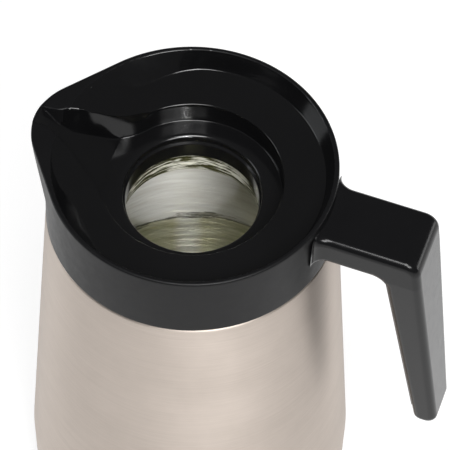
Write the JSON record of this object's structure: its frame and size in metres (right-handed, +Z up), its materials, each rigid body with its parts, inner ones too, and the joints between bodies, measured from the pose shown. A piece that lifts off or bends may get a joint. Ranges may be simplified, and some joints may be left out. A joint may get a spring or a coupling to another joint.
{
  "type": "thermal carafe",
  "caption": "Vacuum carafe with flared brushed-steel body, black collar with pouring spout and open neck, and a cantilever side handle.",
  "frame": {"origin": "centre of the base, on the surface that the carafe stands on", "axes": "+Z up along the body's axis, +X towards the handle, -X towards the spout"},
  "size_m": [0.1934, 0.1496, 0.248],
  "materials": {
    "black_moulding": "black moulded polypropylene, glossy on top and satin on the side",
    "handle_moulding": "black moulded plastic, satin",
    "base_moulding": "black moulded plastic, matte",
    "steel": "brushed stainless steel, satin, vertical streaks",
    "silvered_glass": "silvered borosilicate glass, slightly green-gold",
    "spacer": "pressed mineral-fibre pad",
    "seal_grey": "grey food-grade silicone",
    "seal_black": "black silicone",
    "foot_rubber": "black non-slip rubber",
    "screw_steel": "stainless steel",
    "insert_brass": "brass threaded insert"
  },
  "bodies": {
    "root": {"collar": "black_moulding", "collar_lock_ring": "black_moulding", "shell_top_gasket": "seal_black", "outer_shell": "steel", "flask_outer_glass": "silvered_glass", "flask_inner_glass": "silvered_glass", "flask_spacer_pads": "spacer", "flask_tail_cap": "seal_grey", "neck_seal": "seal_grey", "bottom_cushion": "seal_grey", "base_ring": "base_moulding", "base_plate": "base_moulding", "base_gasket": "seal_black", "foot_ring": "foot_rubber", "handle_body": "handle_moulding", "handle_cover": "handle_moulding", "handle_cover_screws": "screw_steel", "handle_root_screws": "screw_steel", "handle_root_inserts": "insert_brass"}
  },
  "joints": []
}
